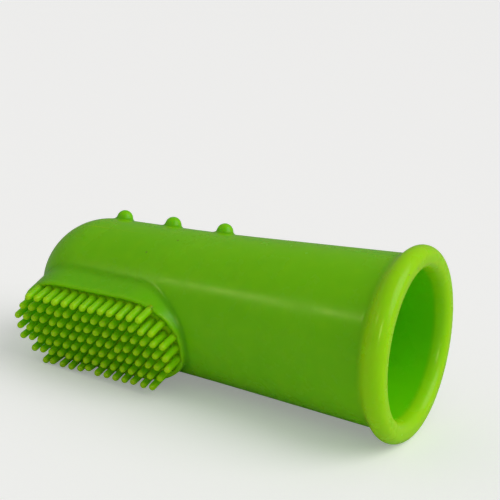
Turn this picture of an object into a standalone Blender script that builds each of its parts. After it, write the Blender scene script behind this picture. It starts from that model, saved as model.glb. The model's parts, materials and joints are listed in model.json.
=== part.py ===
"""Finger-worn pet toothbrush in soft silicone: a thimble-shaped sleeve with a rolled mouth
rim, a raised pad that carries seven rows of bristles, and massage nubs round the back.

Metres, +Z up. The brush lies on its side on the ground plane, as it comes to rest:
nose towards -X, mouth towards +X, bristles towards -Y and a little down.

Everything is first laid out in the brush's own frame, whose +X runs along the finger
axis out of the mouth, -Y is the direction the bristles point in, and +Z is the side that
ends up on top. One empty, brush_pose, then tips that frame into the lying position.
"""

import math

import bmesh
import bpy
from mathutils import Matrix, Vector

MM = 0.001

# ---- driving dimensions, in millimetres, measured from the plane of the mouth rim ----
# Sleeve: (distance from the rim plane towards the nose, radius).
SLEEVE_OUTER = [
    (1.8, 12.0),
    (2.5, 11.65),
    (4.0, 11.44),
    (10.0, 11.18),
    (20.0, 10.74),
    (30.0, 10.28),
    (40.0, 10.08),
]
SLEEVE_INNER = [(1.8, 9.83), (10.0, 9.7), (20.0, 9.4), (31.0, 9.0)]
NOSE_CENTRE = 48.0  # centre of the domed end
NOSE_OUTER_RADIUS = 10.0
NOSE_INNER_RADIUS = 8.85
NOSE_STEPS = 8  # facets along the dome, from its edge to its tip
ROUND_STEPS = 48  # facets round the sleeve

RIM_RADIUS = 11.4  # centre line of the rolled rim
RIM_BEAD_RADIUS = 1.57
RIM_LAND = 1.45  # the rim's mouth side is flat at this distance, so that it can stand on it
RIM_BEAD_STEPS = 16

GAP = 0.2  # between one sub-part and the next

# Bristle pad. "Height" is the distance from the finger axis, out along the bristles.
PAD_CENTRE = 41.85
PAD_HALF_LENGTH = 13.9  # at its top edge
PAD_HALF_WIDTH = 6.85
PAD_CORNER_CUT = (4.2, 3.4)  # what the corners lose along and across the pad
PAD_CORNER_ROUND = 2.2
PAD_DRAFT = 0.5  # how much wider the pad is at its foot than at its top
PAD_FOOT_HEIGHT = 3.0
PAD_LIP_HEIGHT = 11.05
PAD_LIP_WIDTH = 0.5
PAD_FLOOR_HEIGHT = 10.6
PAD_UNDERSIDE_RADIUS = 9.7

# Bristles: a square grid with the corners left out.
ROW_COUNTS = [13, 15, 17, 17, 17, 15, 13]
FIELD_CENTRE = 41.8
BRISTLE_PITCH = 1.57
ROW_SPACING = 1.81
TIP_HEIGHT = 14.0
ROOT_HEIGHT = 11.15  # hinge line of every row
ROOT_BAR_RADIUS = 0.36
BRISTLE_ROOT_RADIUS = 0.56
BRISTLE_TIP_RADIUS = 0.5
BRISTLE_STEPS = 8

# Massage nubs: three lines of three, on the side away from the bristles.
NUB_LINE_ANGLES = [124.0, 180.0, 236.0]  # degrees round the axis from the bristle direction
NUB_STATIONS = [29.9, 38.7, 47.4]
NUB_PROFILE = [(0.0, 1.36), (0.15, 1.22), (0.35, 1.17), (0.65, 1.04), (0.95, 0.78), (1.15, 0.47)]
NUB_TIP = 1.25
NUB_STEPS = 14

# Lying position, from the three points that the brush rests on.
LIE_ROLL = 17.76
LIE_PITCH = -3.54

# ---- colours ----
SLEEVE_GREEN = (0.21, 0.52, 0.012, 1.0)
RIM_GREEN = (0.24, 0.55, 0.014, 1.0)
PAD_GREEN = (0.17, 0.46, 0.010, 1.0)
BRISTLE_GREEN = (0.30, 0.54, 0.016, 1.0)
NUB_GREEN = (0.20, 0.50, 0.012, 1.0)


def clear_scene():
    for item in list(bpy.data.objects):
        bpy.data.objects.remove(item, do_unlink=True)


def silicone(name, colour):
    material = bpy.data.materials.new(name)
    material.use_nodes = True
    shader = material.node_tree.nodes["Principled BSDF"]
    shader.inputs["Base Color"].default_value = colour
    shader.inputs["Roughness"].default_value = 0.38
    shader.inputs["Metallic"].default_value = 0.0
    material.diffuse_color = colour
    return material


def add_object(name, mesh, material, parent, place=(0.0, 0.0, 0.0)):
    item = bpy.data.objects.new(name, mesh)
    bpy.context.scene.collection.objects.link(item)
    item.parent = parent
    item.location = place
    if material:
        mesh.materials.append(material)
    for face in mesh.polygons:
        face.use_smooth = True
    mesh.set_sharp_from_angle(angle=math.radians(40))
    return item


def mesh_from(name, build):
    """A mesh that build(bm) fills, with every face turned to point out."""
    bm = bmesh.new()
    build(bm)
    bmesh.ops.recalc_face_normals(bm, faces=bm.faces)
    mesh = bpy.data.meshes.new(name)
    bm.to_mesh(mesh)
    bm.free()
    return mesh


def bridge(bm, lower, upper):
    """Faces between two rings of equally many points."""
    count = len(lower)
    for i in range(count):
        j = (i + 1) % count
        bm.faces.new((lower[i], lower[j], upper[j], upper[i]))


def fan(bm, ring, tip):
    for i in range(len(ring)):
        bm.faces.new((ring[i], ring[(i + 1) % len(ring)], tip))


def turned(bm, profile, steps, closed_loop, axis="X"):
    """A body turned about an axis from (distance along it, radius) points in millimetres.

    A closed loop makes a ring. Otherwise the first and the last point are closed with a
    point on the axis when their radius is 0, and with a flat face when it isn't.
    """
    rings = []
    for along, radius in profile:
        if radius == 0:
            point = (along, 0, 0) if axis == "X" else (0, -along, 0)
            rings.append([bm.verts.new(Vector(point) * MM)])
            continue
        ring = []
        for i in range(steps):
            turn = 2 * math.pi * i / steps
            a, b = radius * math.cos(turn), radius * math.sin(turn)
            point = (along, a, b) if axis == "X" else (a, -along, b)
            ring.append(bm.verts.new(Vector(point) * MM))
        rings.append(ring)
    pairs = list(zip(rings, rings[1:]))
    if closed_loop:
        pairs.append((rings[-1], rings[0]))
    for lower, upper in pairs:
        if len(lower) == len(upper) == 1:
            continue
        if len(lower) == 1:
            fan(bm, upper, lower[0])
        elif len(upper) == 1:
            fan(bm, lower, upper[0])
        else:
            bridge(bm, lower, upper)
    if not closed_loop:
        for ring in (rings[0], rings[-1]):
            if len(ring) > 1:
                bm.faces.new(ring)


def dome(radius, inwards):
    """Dome points from its edge to the nose tip, or the other way when inwards is set."""
    points = []
    for i in range(1, NOSE_STEPS):
        turn = math.pi / 2 * i / NOSE_STEPS
        points.append((-NOSE_CENTRE - radius * math.sin(turn), radius * math.cos(turn)))
    points.append((-NOSE_CENTRE - radius, 0))
    return list(reversed(points)) if inwards else points


def sleeve_profile():
    outer = [(-s, r) for s, r in SLEEVE_OUTER] + [(-NOSE_CENTRE, NOSE_OUTER_RADIUS)]
    inner = [(-s, r) for s, r in SLEEVE_INNER] + [(-NOSE_CENTRE, NOSE_INNER_RADIUS)]
    inner.reverse()
    return (
        outer
        + dome(NOSE_OUTER_RADIUS, False)
        + dome(NOSE_INNER_RADIUS, True)
        + inner
    )


def make_sleeve(bm):
    """A thimble: its outside runs to the nose and its inside comes back to the mouth."""
    profile = sleeve_profile()
    turned(bm, profile, ROUND_STEPS, True)


def make_core(radius):
    """A builder for a round-nosed rod as thick as the space that something is fitted over."""

    def build(bm):
        profile = [(0.0, radius), (-NOSE_CENTRE, radius)] + dome(radius, False)
        turned(bm, profile, ROUND_STEPS * 2, False)

    return build


def make_rim(bm):
    profile = []
    for i in range(RIM_BEAD_STEPS):
        turn = 2 * math.pi * i / RIM_BEAD_STEPS
        along = min(RIM_BEAD_RADIUS * math.cos(turn), RIM_LAND)
        profile.append((along, RIM_RADIUS + RIM_BEAD_RADIUS * math.sin(turn)))
    turned(bm, profile, ROUND_STEPS, True)


def pad_outline(grow):
    """The pad's outline as (along, across) points, its corners cut and then rounded."""
    length, width = PAD_HALF_LENGTH + grow, PAD_HALF_WIDTH + grow
    cut_along, cut_across = PAD_CORNER_CUT
    corners = []
    for a, b in ((1, 1), (-1, 1), (-1, -1), (1, -1)):
        end = (a * length, b * (width - cut_across))
        side = (a * (length - cut_along), b * width)
        corners += [end, side] if a * b > 0 else [side, end]
    points = []
    for i, corner in enumerate(corners):
        here = Vector(corner)
        back = (Vector(corners[i - 1]) - here).normalized()
        ahead = (Vector(corners[(i + 1) % len(corners)]) - here).normalized()
        for share in (0.0, 0.25, 0.5, 0.75, 1.0):
            start = here + back * PAD_CORNER_ROUND
            finish = here + ahead * PAD_CORNER_ROUND
            points.append(
                start * (1 - share) ** 2 + here * 2 * share * (1 - share) + finish * share**2
            )
    return points


def pad_ring(bm, grow, height):
    return [
        bm.verts.new(Vector((-PAD_CENTRE + p.x, -height, p.y)) * MM) for p in pad_outline(grow)
    ]


def make_pad_block(grow, with_lip):
    """A builder for the pad's block, before the round underside is taken out of it."""

    def build(bm):
        foot = pad_ring(bm, PAD_DRAFT + grow, PAD_FOOT_HEIGHT)
        bm.faces.new(foot)
        if not with_lip:
            top = pad_ring(bm, grow, PAD_LIP_HEIGHT + 2.0)
            bridge(bm, foot, top)
            bm.faces.new(top)
            return
        shoulder = pad_ring(bm, 0.0, PAD_LIP_HEIGHT - 0.2)
        crest = pad_ring(bm, -0.15, PAD_LIP_HEIGHT)
        inner = pad_ring(bm, -PAD_LIP_WIDTH + 0.1, PAD_LIP_HEIGHT)
        floor = pad_ring(bm, -PAD_LIP_WIDTH, PAD_FLOOR_HEIGHT)
        for lower, upper in ((foot, shoulder), (shoulder, crest), (crest, inner), (inner, floor)):
            bridge(bm, lower, upper)
        bm.faces.new(floor)

    return build


def make_bristles(count):
    """A builder for one row of round-tipped bristles, standing on the row's own hinge line."""
    length = TIP_HEIGHT - ROOT_HEIGHT
    profile = [
        (0.0, BRISTLE_ROOT_RADIUS),
        (length - 0.42, BRISTLE_TIP_RADIUS),
        (length - 0.12, BRISTLE_TIP_RADIUS * 0.72),
        (length, 0),
    ]

    def build(bm):
        for i in range(count):
            before = set(bm.verts)
            turned(bm, profile, BRISTLE_STEPS, False, axis="-Y")
            added = [vert for vert in bm.verts if vert not in before]
            along = (i - (count - 1) / 2) * BRISTLE_PITCH
            bmesh.ops.translate(bm, verts=added, vec=(along * MM, 0, 0))

    return build


def make_root_bar(count):
    half = (count - 1) / 2 * BRISTLE_PITCH + 0.3

    def build(bm):
        profile = [(-half, ROOT_BAR_RADIUS), (half, ROOT_BAR_RADIUS)]
        turned(bm, profile, BRISTLE_STEPS, False)

    return build


def make_nub(bm):
    profile = [(height + GAP, radius) for height, radius in NUB_PROFILE]
    turned(bm, profile + [(GAP + NUB_TIP, 0)], NUB_STEPS, False, axis="-Y")


def sleeve_radius(station):
    """Outer radius of the sleeve at a distance from the rim plane."""
    points = SLEEVE_OUTER + [(NOSE_CENTRE, NOSE_OUTER_RADIUS)]
    for (s0, r0), (s1, r1) in zip(points, points[1:]):
        if s0 <= station <= s1:
            return r0 + (r1 - r0) * (station - s0) / (s1 - s0)
    beyond = station - NOSE_CENTRE
    return math.sqrt(max(NOSE_OUTER_RADIUS**2 - beyond**2, 0.0))


def combine(item, other, operation):
    modifier = item.modifiers.new(operation.lower() + "_" + other.name, "BOOLEAN")
    modifier.operation = operation
    modifier.object = other
    modifier.solver = "EXACT"
    other.hide_render = True
    other.display_type = "WIRE"


def rest_on_ground(pose):
    """Moves the pose empty so that the model's box stands centred on the origin."""
    bpy.context.view_layer.update()
    graph = bpy.context.evaluated_depsgraph_get()
    points = []
    for item in bpy.data.objects:
        if item.type != "MESH" or item.hide_render:
            continue
        shaped = item.evaluated_get(graph)
        points += [shaped.matrix_world @ vert.co for vert in shaped.data.vertices]
    low = [min(point[i] for point in points) for i in range(3)]
    high = [max(point[i] for point in points) for i in range(3)]
    pose.location = (-(low[0] + high[0]) / 2, -(low[1] + high[1]) / 2, -low[2])
    bpy.context.view_layer.update()


def main():
    clear_scene()
    pose = bpy.data.objects.new("brush_pose", None)
    bpy.context.scene.collection.objects.link(pose)
    pose.empty_display_size = 0.01
    pose.rotation_euler = (math.radians(LIE_ROLL), math.radians(LIE_PITCH), 0.0)

    sleeve_material = silicone("sleeve_silicone", SLEEVE_GREEN)
    rim_material = silicone("rim_silicone", RIM_GREEN)
    pad_material = silicone("pad_silicone", PAD_GREEN)
    bristle_material = silicone("bristle_silicone", BRISTLE_GREEN)
    nub_material = silicone("nub_silicone", NUB_GREEN)

    # Sleeve and rim.
    sleeve = add_object(
        "finger_sleeve", mesh_from("finger_sleeve", make_sleeve), sleeve_material, pose
    )
    add_object("mouth_rim", mesh_from("mouth_rim", make_rim), rim_material, pose)

    # Pad, and the seat that it takes in the sleeve.
    pad = add_object(
        "bristle_pad", mesh_from("bristle_pad", make_pad_block(0.0, True)), pad_material, pose
    )
    under_pad = mesh_from("under_pad", make_core(PAD_UNDERSIDE_RADIUS))
    combine(pad, add_object("under_pad", under_pad, None, pose), "DIFFERENCE")
    seat = add_object(
        "pad_seat", mesh_from("pad_seat", make_pad_block(GAP, False)), None, pose
    )
    under_seat = mesh_from("under_seat", make_core(PAD_UNDERSIDE_RADIUS - GAP))
    combine(seat, add_object("under_seat", under_seat, None, pose), "DIFFERENCE")
    combine(sleeve, seat, "DIFFERENCE")

    # Bristle rows, each with its origin on its hinge line. Row 1 is the lowest one.
    for index, count in enumerate(ROW_COUNTS):
        across = (index - (len(ROW_COUNTS) - 1) / 2) * ROW_SPACING
        place = Vector((-FIELD_CENTRE, -ROOT_HEIGHT, across)) * MM
        name = "bristle_row_%d" % (index + 1)
        row = add_object(
            name, mesh_from(name, make_root_bar(count)), bristle_material, pose, place
        )
        bristles = mesh_from(name + "_bristles", make_bristles(count))
        bristles = add_object(name + "_bristles", bristles, bristle_material, pose, place)
        combine(row, bristles, "UNION")

    # Nubs, each turned to point straight out of the sleeve.
    number = 0
    for angle in NUB_LINE_ANGLES:
        for station in NUB_STATIONS:
            number += 1
            name = "massage_nub_%d" % number
            turn = Matrix.Rotation(math.radians(-angle), 4, "X")
            out = turn @ Vector((0, -1, 0))
            place = (Vector((-station, 0, 0)) + out * sleeve_radius(station)) * MM
            nub = add_object(name, mesh_from(name, make_nub), nub_material, pose, place)
            nub.rotation_euler = turn.to_euler()

    rest_on_ground(pose)


main()
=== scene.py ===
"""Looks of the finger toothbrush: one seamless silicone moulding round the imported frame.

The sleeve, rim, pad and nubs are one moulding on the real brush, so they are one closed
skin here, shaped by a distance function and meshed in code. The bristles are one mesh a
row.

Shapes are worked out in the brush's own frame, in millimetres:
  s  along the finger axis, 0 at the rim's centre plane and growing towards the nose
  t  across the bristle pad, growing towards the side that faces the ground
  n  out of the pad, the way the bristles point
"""

import json
import math

import bmesh
import bpy
import numpy as np
from mathutils import Matrix, Vector


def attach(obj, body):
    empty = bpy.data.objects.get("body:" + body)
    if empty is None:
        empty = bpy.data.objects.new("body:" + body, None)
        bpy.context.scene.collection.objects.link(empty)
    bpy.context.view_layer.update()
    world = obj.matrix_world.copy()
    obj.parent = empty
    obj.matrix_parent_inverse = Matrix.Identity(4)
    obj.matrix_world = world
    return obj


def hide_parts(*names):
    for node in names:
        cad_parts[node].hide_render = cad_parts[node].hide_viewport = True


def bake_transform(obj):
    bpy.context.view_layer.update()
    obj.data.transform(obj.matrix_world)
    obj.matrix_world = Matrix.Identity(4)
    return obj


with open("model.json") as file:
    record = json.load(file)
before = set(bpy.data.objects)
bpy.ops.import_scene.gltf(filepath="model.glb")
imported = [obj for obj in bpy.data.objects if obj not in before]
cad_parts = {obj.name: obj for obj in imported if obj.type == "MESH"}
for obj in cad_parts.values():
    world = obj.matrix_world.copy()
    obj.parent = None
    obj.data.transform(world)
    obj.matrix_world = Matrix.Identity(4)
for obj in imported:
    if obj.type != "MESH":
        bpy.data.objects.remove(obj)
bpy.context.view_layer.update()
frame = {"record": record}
MM = 0.001

# ---- the moulding, in millimetres ----
NOSE_CENTRE = 48.0
NOSE_RADIUS = 9.98
SLEEVE_TAPER = 0.013  # radius gained per millimetre towards the mouth
MOUTH_FLARE = 0.0975  # more taper, from here to the mouth
MOUTH_FLARE_START = 31.0
MOUTH_FLARE_REACH = 3.0
WALL = 1.15  # at the nose
WALL_GAIN = 0.00026  # times the square of the distance from the nose's centre
RIM_RADIUS = 11.4
RIM_BEAD = 1.54
RIM_LAND = 1.45
PAD_CENTRE = 41.85
PAD_LENGTH = 13.7
PAD_WIDTH = 6.8
PAD_CORNER = (0.629, 0.777, 11.0)  # direction and distance of the corner cut
PAD_TOP = 11.05
PAD_FLOOR = 10.6
PAD_LIP = 0.46
PAD_FOOT = 3.0
PAD_DRAFT = 0.062
PAD_DRAFT_HEIGHT = 10.85
NUB_ANGLES = (124.0, 180.0, 236.0)
NUB_STATIONS = (29.9, 38.7, 47.4)
NUB_HEIGHT = 1.44
NUB_RADIUS = 1.2
NUB_DRAFT = 0.05
RIM_BLEND = 1.1  # how far each feature blends into its neighbour
PAD_BLEND = 0.5
NUB_BLEND = 0.5
MOUTH_BLEND = 0.35
GRID_STEP = 0.325
GRID_MARGIN = 0.7  # with this start, no grid cell holds two sheets of the surface

# ---- bristles ----
ROW_COUNTS = (13, 15, 17, 17, 17, 15, 13)
FIELD_CENTRE = 41.8
PITCH = 1.57
ROW_SPACING = 1.81
TIP_HEIGHT = 13.95
BEND_POWER = 1.6
LEAN = 0.055  # how far a tip strays from its place
STRAY_LEAN = 0.22  # and how far a few of them do
STRAY_SHARE = 0.05
RISE = (-0.03, 0.025)  # mean and spread of the tips' heights
SEED = 7


# ---- brush frame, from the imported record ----
def brush_axes():
    """Origin and the s, t and n directions in the row frame."""
    mounts = {m["name"]: m for m in frame["record"]["mounts"]}
    joints = {j["name"]: j for j in frame["record"]["behaviour"]["joints"]}
    mouth = mounts["finger_opening"]
    out = Vector(mouth["axis"]).normalized()
    origin = Vector(mouth["pos_m"]) - out * RIM_LAND * MM
    reach = Vector(joints["row_4_flex"]["pos_m"]) - origin
    n = (reach - out * reach.dot(out)).normalized()
    s = -out
    return origin, s, n.cross(s), n


ORIGIN, S_AXIS, T_AXIS, N_AXIS = brush_axes()
BASIS = np.array([S_AXIS, T_AXIS, N_AXIS])


def to_row(points):
    """Points in the brush's frame, in millimetres, as points in the row frame, in metres."""
    return np.asarray(points) @ BASIS * MM + np.array(ORIGIN)


def point(s, t, n):
    return Vector(to_row([(s, t, n)])[0])


# ---- distance function ----
def soft_min(a, b, k):
    h = np.clip(0.5 + 0.5 * (b - a) / k, 0, 1)
    return b + (a - b) * h - k * h * (1 - h)


def soft_max(a, b, k):
    return -soft_min(-a, -b, k)


def outer_radius(s):
    """The sleeve tapers quickly from its mouth and slowly under the pad."""
    flare = np.log1p(np.exp((MOUTH_FLARE_START - s) / MOUTH_FLARE_REACH))
    return NOSE_RADIUS + SLEEVE_TAPER * (NOSE_CENTRE - s) + MOUTH_FLARE * flare


def inner_radius(s):
    return outer_radius(s) - WALL - WALL_GAIN * (NOSE_CENTRE - s) ** 2


def pad_side(s, t):
    """Distance outside the pad's outline, seen along the bristles."""
    a, b = np.abs(s - PAD_CENTRE), np.abs(t)
    corner = a * PAD_CORNER[0] + b * PAD_CORNER[1] - PAD_CORNER[2]
    return soft_max(soft_max(a - PAD_LENGTH, b - PAD_WIDTH, 1.0), corner, 2.2)


def nub(s, t, n, station, angle):
    """A blunt round-nosed stub standing straight out of the sleeve."""
    turn = math.radians(angle)
    u, v = -math.sin(turn), math.cos(turn)
    height = t * u + n * v
    side = np.sqrt((s - station) ** 2 + (t * v - n * u) ** 2)
    top = float(outer_radius(station)) + NUB_HEIGHT - NUB_RADIUS
    spread = NUB_DRAFT * np.clip(top - height, 0, 2)
    low = np.clip(height - top, -3, 0)
    return np.sqrt(side**2 + (height - top - low) ** 2) - NUB_RADIUS - spread


def moulding(s, t, n):
    """Signed distance to the silicone, negative inside it."""
    r = np.sqrt(t * t + n * n)
    ball = np.sqrt((s - NOSE_CENTRE) ** 2 + r * r)
    skin = np.where(s > NOSE_CENTRE, ball - NOSE_RADIUS, r - outer_radius(s))
    skin = soft_max(skin, 0.3 - s, 0.3)
    rim = np.sqrt((r - RIM_RADIUS) ** 2 + s * s) - RIM_BEAD
    d = soft_min(skin, rim, RIM_BLEND)

    side = pad_side(s, t)
    draft = PAD_DRAFT * np.clip(PAD_DRAFT_HEIGHT - n, 0, 8)
    block = soft_max(side - draft, n - PAD_TOP, 0.4)
    block = soft_max(block, PAD_FOOT - n, 0.5)
    d = soft_min(d, block, PAD_BLEND)
    well = soft_max(side + PAD_LIP, PAD_FLOOR - n, 0.35)
    d = soft_max(d, -well, 0.3)

    for angle in NUB_ANGLES:
        for station in NUB_STATIONS:
            d = soft_min(d, nub(s, t, n, station, angle), NUB_BLEND)

    hollow = np.where(s > NOSE_CENTRE, ball - NOSE_RADIUS + WALL, r - inner_radius(s))
    return soft_max(d, -hollow, MOUTH_BLEND)


def gradient(p, reach=0.03):
    out = np.empty_like(p)
    for axis in range(3):
        step = np.zeros(3)
        step[axis] = reach
        a, b = p + step, p - step
        out[:, axis] = moulding(*a.T) - moulding(*b.T)
    return out / (2 * reach)


def surface_net(low, high, step):
    """Points and quads of the zero surface: one point in each grid cell that it crosses."""
    axes = [np.arange(a, b + step, step) for a, b in zip(low, high)]
    field = moulding(*np.meshgrid(*axes, indexing="ij"))
    inside = field < 0
    cells = tuple(size - 1 for size in field.shape)
    total = np.zeros(cells + (3,))
    crossings = np.zeros(cells)
    corners = [(i, j, k) for i in (0, 1) for j in (0, 1) for k in (0, 1)]

    def corner(array, c):
        return array[c[0] : c[0] + cells[0], c[1] : c[1] + cells[1], c[2] : c[2] + cells[2]]

    for a in corners:
        for axis in range(3):
            if a[axis]:
                continue
            b = tuple(1 if i == axis else a[i] for i in range(3))
            fa, fb = corner(field, a), corner(field, b)
            crossed = (fa < 0) != (fb < 0)
            share = np.where(crossed, fa / np.where(crossed, fa - fb, 1), 0)
            for i in range(3):
                total[..., i] += np.where(crossed, a[i] + (share if i == axis else 0), 0)
            crossings += crossed
    active = crossings > 0
    index = np.full(cells, -1)
    index[active] = np.arange(active.sum())
    base = np.stack(np.nonzero(active), 1)
    points = (base + total[active] / crossings[active][:, None]) * step + np.array(low)

    quads = []
    for axis in range(3):
        others = [i for i in range(3) if i != axis]
        ahead = [slice(None)] * 3
        behind = [slice(None)] * 3
        ahead[axis], behind[axis] = slice(1, None), slice(None, -1)
        change = inside[tuple(ahead)] != inside[tuple(behind)]
        where = np.stack(np.nonzero(change), 1)
        for i in others:
            where = where[(where[:, i] > 0) & (where[:, i] < field.shape[i] - 1)]
        steps = np.zeros((4, 3), int)
        steps[1, others[0]] = steps[2, others[0]] = -1
        steps[2, others[1]] = steps[3, others[1]] = -1
        ring = [index[tuple((where + s).T)] for s in steps]
        quad = np.stack(ring, 1)
        starts_inside = inside[tuple(where.T)]
        flip = starts_inside == (axis == 1)
        quad[flip] = quad[flip][:, ::-1]
        quads.append(quad)
    return points, np.concatenate(quads)


def settle(points, quads, rounds):
    """Evens the mesh out and puts each point back on the surface."""
    ends = np.concatenate([quads[:, [i, (i + 1) % 4]] for i in range(4)])
    for turn in range(rounds):
        total = np.zeros_like(points)
        count = np.zeros(len(points))
        for i in (0, 1):
            for axis in range(3):
                total[:, axis] += np.bincount(
                    ends[:, i], points[ends[:, 1 - i], axis], len(points)
                )
            count += np.bincount(ends[:, i], minlength=len(points))
        grad = gradient(points)
        normal = grad / np.linalg.norm(grad, axis=1)[:, None]
        move = total / count[:, None] - points
        move -= normal * (move * normal).sum(1)[:, None]
        points = points + move * 0.5
        for again in range(2):
            grad = gradient(points)
            size = np.maximum((grad**2).sum(1), 0.2)
            away = np.clip(moulding(*points.T), -0.2, 0.2)
            points = points - grad * (away / size)[:, None]
    return points


def convexity(points, reach=0.45):
    """How sharply the surface bulges: above 0 on edges and tips, below 0 in hollows."""
    total = -6 * moulding(*points.T)
    for axis in range(3):
        for sign in (-1, 1):
            step = np.zeros(3)
            step[axis] = sign * reach
            total += moulding(*(points + step).T)
    return total / reach**2


def mesh_object(name, points, faces, material, attributes):
    mesh = bpy.data.meshes.new(name)
    faces = np.asarray(faces)
    size = faces.shape[1]
    mesh.vertices.add(len(points))
    mesh.vertices.foreach_set("co", np.asarray(points, np.float32).ravel())
    mesh.loops.add(faces.size)
    mesh.loops.foreach_set("vertex_index", faces.astype(np.int32).ravel())
    mesh.polygons.add(len(faces))
    mesh.polygons.foreach_set("loop_start", np.arange(0, faces.size, size, dtype=np.int32))
    mesh.update(calc_edges=True)
    for key, values in attributes.items():
        layer = mesh.attributes.new(key, "FLOAT", "POINT")
        layer.data.foreach_set("value", np.asarray(values, np.float32))
    mesh.polygons.foreach_set("use_smooth", np.ones(len(faces), bool))
    mesh.materials.append(material)
    mesh.validate()
    item = bpy.data.objects.new(name, mesh)
    bpy.context.scene.collection.objects.link(item)
    return item


# ---- materials ----
class Graph:
    """Short calls for building one material's nodes."""

    def __init__(self, name):
        self.material = bpy.data.materials.new(name)
        self.material.use_nodes = True
        self.tree = self.material.node_tree
        self.shader = self.tree.nodes["Principled BSDF"]

    def add(self, kind, inputs=None, **settings):
        node = self.tree.nodes.new(kind)
        for key, value in settings.items():
            setattr(node, key, value)
        for key, value in (inputs or {}).items():
            self.put(node.inputs[key], value)
        return node

    def put(self, socket, value):
        if isinstance(value, bpy.types.NodeSocket):
            self.tree.links.new(value, socket)
        else:
            socket.default_value = value

    def math(self, operation, a, b=0.0, clamp=False):
        node = self.add("ShaderNodeMath", {0: a, 1: b}, operation=operation, use_clamp=clamp)
        return node.outputs[0]

    def noise(self, scale, detail, rough, coords):
        inputs = {"Scale": scale, "Detail": detail, "Roughness": rough, "Vector": coords}
        return self.add("ShaderNodeTexNoise", inputs).outputs["Fac"]

    def ramp(self, value, low, high, to_low=0.0, to_high=1.0):
        inputs = {"Value": value, "From Min": low, "From Max": high}
        inputs.update({"To Min": to_low, "To Max": to_high})
        node = self.add("ShaderNodeMapRange", inputs, interpolation_type="SMOOTHSTEP")
        return node.outputs["Result"]

    def mix(self, share, a, b):
        # The colour sockets of a Mix node are inputs 6 and 7, and output 2.
        node = self.add("ShaderNodeMix", {"Factor": share, 6: a, 7: b}, data_type="RGBA")
        return node.outputs[2]

    def attribute(self, name):
        return self.add("ShaderNodeAttribute", attribute_name=name).outputs["Fac"]

    def seam(self, coords):
        """The line where the mould's halves met, which shows on the nose."""
        across = self.add("ShaderNodeVectorMath", operation="DOT_PRODUCT")
        self.put(across.inputs[0], coords)
        self.put(across.inputs[1], tuple(N_AXIS))
        offset = self.math("SUBTRACT", across.outputs["Value"], ORIGIN.dot(N_AXIS))
        line = self.ramp(self.math("ABSOLUTE", offset), 0.00002, 0.00012, 1.0, 0.0)
        return self.math("MULTIPLY", line, self.attribute("seam"))

    def bump(self, height, distance, strength, under=None):
        inputs = {"Height": height, "Distance": distance, "Strength": strength}
        if under is not None:
            inputs["Normal"] = under
        return self.add("ShaderNodeBump", inputs).outputs["Normal"]


# DEEP and BRIGHT are the silicone's darker and lighter tones for its random clouding; the
# material also mixes them in as painted shade and painted highlights.
DEEP = (0.130, 0.510, 0.0010, 1)
BODY = (0.222, 0.650, 0.0016, 1)
BRIGHT = (0.500, 0.895, 0.0070, 1)
# Painted highlight: the lighter, yellower tone of the lit bristle tips, also the bristles'
# viewport colour.
TIP_HIGHLIGHT = (0.420, 0.800, 0.0050, 1)
# Painted light: the bright pure green of light bouncing inside the sleeve.
INSIDE_LIGHT = (0.180, 0.810, 0.0010, 1)
DUST = (0.10, 0.085, 0.02, 1)
RIPPLE_DEPTH = 0.000008  # metres, like the next two
GRAIN_DEPTH = 0.0000025
SEAM_DEPTH = 0.00006
SCATTER_REACH = 0.0020


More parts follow.
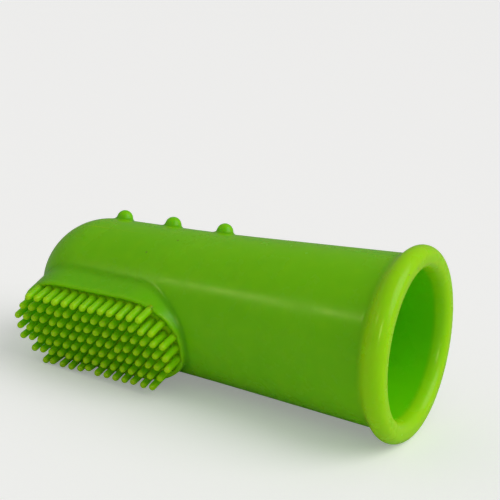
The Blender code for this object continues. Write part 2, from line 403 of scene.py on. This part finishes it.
def silicone(name, bristles):
    """Soft satin silicone, tinted through so thin parts pass light; its colour also holds
    painted highlights where it stands proud and painted shade in its hollows.
    """
    g = Graph(name)
    coords = g.add("ShaderNodeTexCoord").outputs["Object"]
    cloud = g.noise(70.0, 3.0, 0.5, coords)
    mottle = g.noise(480.0, 2.0, 0.5, coords)
    grain = g.noise(5200.0, 2.0, 0.6, coords)
    # Faint clouding in the tint, in two sizes.
    colour = g.mix(g.ramp(cloud, 0.35, 0.7, 0.0, 0.22), BODY, DEEP)
    colour = g.mix(g.ramp(mottle, 0.45, 0.75, 0.0, 0.06), colour, BRIGHT)
    if bristles:
        along = g.attribute("along")
        # Painted light: each bristle is lightened, most at its root, to lift the shade between
        # the bristles.
        colour = g.mix(g.ramp(along, 0.0, 0.6, 0.25, 0.15), colour, BRIGHT)
        # Painted highlight on the bristle tips.
        colour = g.mix(g.ramp(along, 0.6, 1.0, 0.0, 0.85), colour, TIP_HIGHLIGHT)
    else:
        bulge = g.attribute("bulge")
        # Painted highlight on edges and tips that stand proud.
        colour = g.mix(g.ramp(bulge, 0.2, 2.2, 0.0, 0.15), colour, BRIGHT)
        # Painted light on the rim and on the pad's floor between the bristles.
        colour = g.mix(g.math("MULTIPLY", g.attribute("rim"), 0.6), colour, BRIGHT)
        # Painted shade on the pad's outer wall and on the nubs.
        colour = g.mix(g.math("MULTIPLY", g.attribute("wall_shade"), 0.5), colour, DEEP)
        # Painted shade in hollows and creases.
        colour = g.mix(g.ramp(bulge, -1.0, -0.1, 0.6, 0.0), colour, DEEP)
        # Painted light inside the sleeve, standing in for light bouncing round in it.
        colour = g.mix(g.math("MULTIPLY", g.attribute("inside"), 0.7), colour, INSIDE_LIGHT)
        seam = g.seam(coords)
        # Painted highlight: a lighter line along the seam's ridge, whose relief is the bump
        # below.
        colour = g.mix(g.math("MULTIPLY", seam, 0.4), colour, BRIGHT)
    # A few specks of dust: small spots, kept only where a broad noise is high.
    spots = {"Vector": coords, "Scale": 420.0, "Randomness": 1.0}
    specks = g.add("ShaderNodeTexVoronoi", spots)
    spot = g.ramp(specks.outputs["Distance"], 0.05, 0.09, 1.0, 0.0)
    rare = g.ramp(g.noise(150.0, 0.0, 0.5, coords), 0.66, 0.70)
    speck = g.math("MULTIPLY", spot, rare)
    colour = g.mix(g.math("MULTIPLY", speck, 0.5), colour, DUST)
    g.put(g.shader.inputs["Base Color"], colour)

    # Patchy satin gloss.
    smear = g.noise(210.0, 4.0, 0.6, coords)
    rough = g.ramp(smear, 0.3, 0.72, 0.21, 0.32)
    rough = g.math("ADD", rough, g.math("MULTIPLY", speck, 0.25), clamp=True)
    g.put(g.shader.inputs["Roughness"], rough)

    # Moulding texture, which is weaker inside the sleeve.
    relief = 1.0
    if not bristles:
        relief = g.math("SUBTRACT", 1.0, g.math("MULTIPLY", g.attribute("inside"), 0.85))
    normal = g.bump(g.noise(700.0, 1.0, 0.5, coords), RIPPLE_DEPTH, relief)
    normal = g.bump(grain, GRAIN_DEPTH, relief, normal)
    if not bristles:
        normal = g.bump(seam, SEAM_DEPTH, 1.0, normal)
    g.put(g.shader.inputs["Normal"], normal)

    g.shader.inputs["IOR"].default_value = 1.41
    g.shader.inputs["Specular IOR Level"].default_value = 0.3
    g.shader.inputs["Subsurface Weight"].default_value = 0.9
    g.shader.inputs["Subsurface Radius"].default_value = (0.6, 1.0, 0.12)
    g.shader.inputs["Subsurface Scale"].default_value = SCATTER_REACH
    g.material.diffuse_color = TIP_HIGHLIGHT if bristles else BODY
    return g.material


# ---- the moulding ----
def surface_attributes(points):
    """What the material reads at each point, from 0 to 1 but for the bulge."""
    s, t, n = points.T
    mid_wall = np.where(s > NOSE_CENTRE, NOSE_RADIUS - WALL / 2, outer_radius(s) - WALL / 2)
    past = np.sqrt(np.maximum(s - NOSE_CENTRE, 0) ** 2 + t * t + n * n)
    side = pad_side(s, t)

    seam = (past > mid_wall) * np.clip((s - 38) / 10, 0, 1)
    inside = np.clip((mid_wall - past) / 0.3, 0, 1) * np.clip((s - 0.2) / 0.6, 0, 1)
    # Painted light on the rim, and on the pad's floor between the bristles to lift its shade.
    rim = np.clip(2.4 - s, 0, 1) * (1 - inside)
    rim = np.maximum(rim, np.clip(-side, 0, 1) * (n > 10))
    # Painted shade on the pad's outer wall with its foot, and on the nubs.
    wall_shade = np.clip(1 + side / 0.25, 0, 1) * np.clip((0.9 - side) / 0.5, 0, 1)
    wall_shade = wall_shade * np.clip(n - 4, 0, 1)
    proud = np.clip((np.hypot(t, n) - outer_radius(s) - 0.1) / 0.5, 0, 1)
    wall_shade = np.maximum(wall_shade, proud * (n < 6) * (s > 5) * 0.6)
    bulge = convexity(points)
    # The rim's own foot gets no painted shade in its hollow.
    bulge = np.where(s < 3.2, np.maximum(bulge, 0), bulge)
    return {"bulge": bulge, "seam": seam, "rim": rim, "inside": inside, "wall_shade": wall_shade}


def make_body():
    reach = RIM_RADIUS + RIM_BEAD + GRID_MARGIN
    low = (-RIM_BEAD - GRID_MARGIN, -reach, -reach)
    high = (NOSE_CENTRE + NOSE_RADIUS + GRID_MARGIN, reach, reach)
    points, quads = surface_net(low, high, GRID_STEP)
    points = settle(points, quads, 4)
    # The rim's mouth side is flat enough to stand on.
    points[:, 0] = np.maximum(points[:, 0], -RIM_LAND)
    body = mesh_object(
        "silicone_body",
        to_row(points),
        quads,
        silicone("body_silicone", False),
        surface_attributes(points),
    )
    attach(body, "sleeve")
    nubs = ["massage_nub_%d" % i for i in range(1, 10)]
    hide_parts("finger_sleeve", "mouth_rim", "bristle_pad", *nubs)
    return body


# ---- bristles ----
BRISTLE_PROFILE = (
    (10.3, 0.57),
    (10.6, 0.64),
    (10.75, 0.55),
    (11.05, 0.515),
    (11.5, 0.50),
    (12.0, 0.495),
    (12.5, 0.49),
    (12.9, 0.49),
    (13.25, 0.495),
)
BRISTLE_SIDES = 14
BALL_RADIUS = 0.5


def bristle(s, t, lean, rise):
    """Points, quads and triangles of one round-tipped bristle."""
    profile = list(BRISTLE_PROFILE)
    centre = TIP_HEIGHT - BALL_RADIUS + rise
    for degrees in (8, 28, 48, 68, 83):
        turn = math.radians(degrees)
        profile.append((centre + BALL_RADIUS * math.sin(turn), BALL_RADIUS * math.cos(turn)))
    rings, along = [], []
    for height, radius in profile:
        share = max(0.0, (height - PAD_FLOOR) / (TIP_HEIGHT - PAD_FLOOR))
        bend = share**BEND_POWER
        turns = np.arange(BRISTLE_SIDES) * 2 * math.pi / BRISTLE_SIDES
        ring = np.stack(
            [
                s + lean[0] * bend + radius * np.cos(turns),
                t + lean[1] * bend + radius * np.sin(turns),
                np.full(BRISTLE_SIDES, height),
            ],
            1,
        )
        rings.append(ring)
        along += [share] * BRISTLE_SIDES
    points = np.concatenate(rings)
    caps = [[s, t, profile[0][0]], [s + lean[0], t + lean[1], centre + BALL_RADIUS]]
    points = np.concatenate([points, caps])
    along += [0.0, 1.0]
    faces = []
    for level in range(len(profile) - 1):
        for i in range(BRISTLE_SIDES):
            j = (i + 1) % BRISTLE_SIDES
            a, b = level * BRISTLE_SIDES, (level + 1) * BRISTLE_SIDES
            faces += [(a + i, a + j, b + j), (a + i, b + j, b + i)]
    last = (len(profile) - 1) * BRISTLE_SIDES
    bottom, top = len(points) - 2, len(points) - 1
    for i in range(BRISTLE_SIDES):
        j = (i + 1) % BRISTLE_SIDES
        faces += [(j, i, bottom), (last + i, last + j, top)]
    return points, faces, along


def make_row(number, count, material, chance):
    t = (len(ROW_COUNTS) - 1) / 2 * ROW_SPACING - (number - 1) * ROW_SPACING
    points, faces, along = [], [], []
    for i in range(count):
        s = FIELD_CENTRE - (i - (count - 1) / 2) * PITCH
        lean = chance.normal(0, LEAN, 2)
        if chance.random() < STRAY_SHARE:
            lean = chance.normal(0, STRAY_LEAN, 2)
        made, sides, shares = bristle(s, t, lean, float(chance.normal(*RISE)))
        start = sum(len(part) for part in points)
        points.append(made)
        faces += [tuple(start + corner for corner in face) for face in sides]
        along += shares
    points = np.concatenate(points)
    points[:, 2] = np.minimum(points[:, 2], TIP_HEIGHT)
    name = "bristles_%d" % number
    row = mesh_object(name, to_row(points), faces, material, {"along": along})
    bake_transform(row)
    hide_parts("bristle_row_%d" % number)
    return row


# ---- studio ----
FLOOR = (0.90, 0.90, 0.895, 1)
BOUNCE = (0.80, 0.80, 0.79, 1)  # what the floor gives back to the brush
MIRRORED = (0.30, 0.30, 0.29, 1)  # what the silicone mirrors of the floor
GLOW = 0.28  # lifts the floor towards the white of a cut-out backdrop
BACKDROP = (0.842, 0.840, 0.832, 1)
SKY_STRENGTH = 0.40
SHEEN_STRENGTH = 0.16  # what the silicone mirrors of the sky
SUN_STRENGTH = 1.3
SUN_FROM = (0.85, 0.15, 0.80)
SUN_COLOUR = (1.0, 0.99, 0.97)
SUN_DEGREES = 50  # how wide the sun is, for soft shadows
FLOOR_REACH = 12.0
GLINT_COLOUR = (1.0, 1.0, 0.35)
# The strip lamp gives the gloss band along the sleeve, the kick lamp the glint on the rim.
# Their places and directions are in the brush's own frame, and their sizes in metres.
STRIP_AT = (235.6, -316.3, 186.9)
SLEEVE_SIDE = (16.0, -8.0, 7.0)
STRIP_ALONG = (-0.867, -0.166, 0.470)
STRIP_WATTS, STRIP_SIZE = 0.132, (0.085, 0.010)
KICK_FROM = (-0.427, -0.649, 0.630)
KICK_ALONG = (0.0, 0.75, 0.66)
KICK_DISTANCE = 0.5  # metres, from the middle of the brush, which is in the row frame
KICK_WATTS, KICK_SIZE = 0.52, (0.11, 0.02)
BRUSH_MIDDLE = (0.0, 0.0, 0.013)


def turn_to(item, back, side):
    """Points the item's -Z away from back, with its X as near to side as can be."""
    z = Vector(back).normalized()
    x = Vector(side)
    x = (x - z * x.dot(z)).normalized()
    item.matrix_world = (
        Matrix.Translation(item.location) @ Matrix((x, z.cross(x), z)).transposed().to_4x4()
    )


def add_light(name, kind, place, back, side, energy, colour):
    data = bpy.data.lights.new(name, kind)
    data.energy = energy
    data.color = colour
    lamp = bpy.data.objects.new(name, data)
    bpy.context.scene.collection.objects.link(lamp)
    lamp.location = place
    turn_to(lamp, back, side)
    return lamp


def add_glint(name, place, back, along, energy, size):
    """A lamp that shows only as a reflection; back and along are in the brush's own frame."""
    back, along = (Vector(np.array(v) @ BASIS) for v in (back, along))
    lamp = add_light(name, "AREA", place, back, along, energy, GLINT_COLOUR)
    lamp.data.shape = "RECTANGLE"
    lamp.data.size, lamp.data.size_y = size
    lamp.visible_diffuse = False


def make_studio():
    bm = bmesh.new()
    bmesh.ops.create_grid(bm, x_segments=8, y_segments=8, size=FLOOR_REACH)
    mesh = bpy.data.meshes.new("studio_floor")
    bm.to_mesh(mesh)
    bm.free()
    floor = bpy.data.objects.new("studio_floor", mesh)
    bpy.context.scene.collection.objects.link(floor)
    g = Graph("studio_paper")
    coords = g.add("ShaderNodeTexCoord").outputs["Object"]
    paper = g.noise(900.0, 2.0, 0.5, coords)
    shade = tuple(value - 0.015 for value in FLOOR[:3]) + (1,)
    path = g.add("ShaderNodeLightPath")
    seen = path.outputs["Is Camera Ray"]
    back = g.mix(path.outputs["Is Glossy Ray"], BOUNCE, MIRRORED)
    tone = g.mix(paper, FLOOR, shade)
    g.put(g.shader.inputs["Base Color"], g.mix(seen, back, tone))
    g.put(g.shader.inputs["Emission Color"], FLOOR)
    g.put(g.shader.inputs["Emission Strength"], g.math("MULTIPLY", seen, GLOW))
    g.shader.inputs["Roughness"].default_value = 0.9
    g.shader.inputs["Specular IOR Level"].default_value = 0.1
    mesh.materials.append(g.material)

    world = bpy.data.worlds.new("studio")
    bpy.context.scene.world = world
    world.use_nodes = True
    tree = world.node_tree
    tree.nodes.clear()
    out = tree.nodes.new("ShaderNodeOutputWorld")
    path = tree.nodes.new("ShaderNodeLightPath")
    light = None
    for ray, colour, strength in (
        (None, (1, 1, 1, 1), SKY_STRENGTH),
        ("Is Glossy Ray", (1, 1, 1, 1), SHEEN_STRENGTH),
        ("Is Camera Ray", BACKDROP, 1.0),
    ):
        sky = tree.nodes.new("ShaderNodeBackground")
        sky.inputs["Color"].default_value = colour
        sky.inputs["Strength"].default_value = strength
        if light is None:
            light = sky.outputs[0]
            continue
        mix = tree.nodes.new("ShaderNodeMixShader")
        tree.links.new(path.outputs[ray], mix.inputs[0])
        tree.links.new(light, mix.inputs[1])
        tree.links.new(sky.outputs[0], mix.inputs[2])
        light = mix.outputs[0]
    tree.links.new(light, out.inputs[0])

    sun = add_light("sun_light", "SUN", SUN_FROM, SUN_FROM, (1, 0, 0), SUN_STRENGTH, SUN_COLOUR)
    sun.data.angle = math.radians(SUN_DEGREES)
    back = [a - b for a, b in zip(STRIP_AT, SLEEVE_SIDE)]
    add_glint("strip_light", point(*STRIP_AT), back, STRIP_ALONG, STRIP_WATTS, STRIP_SIZE)
    kick_at = Vector(np.array(KICK_FROM) @ BASIS) * KICK_DISTANCE + Vector(BRUSH_MIDDLE)
    add_glint("kick_light", kick_at, KICK_FROM, KICK_ALONG, KICK_WATTS, KICK_SIZE)


def make_view_transform():
    bpy.context.scene.view_settings.view_transform = "Standard"
    bpy.context.scene.view_settings.look = "None"


# Where the camera stands and how it is turned, in the brush's own frame.
EYE = (-44.46, -77.93, 101.23)
FORWARD = (0.4806, 0.4872, -0.7292)
UP = (0.1436, -0.8640, -0.4826)
SENSOR, LENS = 36.0, 74.8


def make_camera():
    data = bpy.data.cameras.new("camera")
    data.sensor_width, data.lens = SENSOR, LENS
    data.clip_start, data.clip_end = 0.01, 20.0
    camera = bpy.data.objects.new("camera", data)
    bpy.context.scene.collection.objects.link(camera)
    forward = Vector(np.array(FORWARD) @ BASIS).normalized()
    up = Vector(np.array(UP) @ BASIS)
    right = forward.cross(up).normalized()
    up = right.cross(forward)
    turn = Matrix((right, up, -forward)).transposed()
    camera.matrix_world = Matrix.Translation(point(*EYE)) @ turn.to_4x4()
    bpy.context.scene.camera = camera


make_studio()
make_view_transform()
make_camera()
make_body()
bristle_material = silicone("bristle_silicone", True)
chance = np.random.default_rng(SEED)
for number, count in enumerate(ROW_COUNTS, 1):
    make_row(number, count, bristle_material, chance)
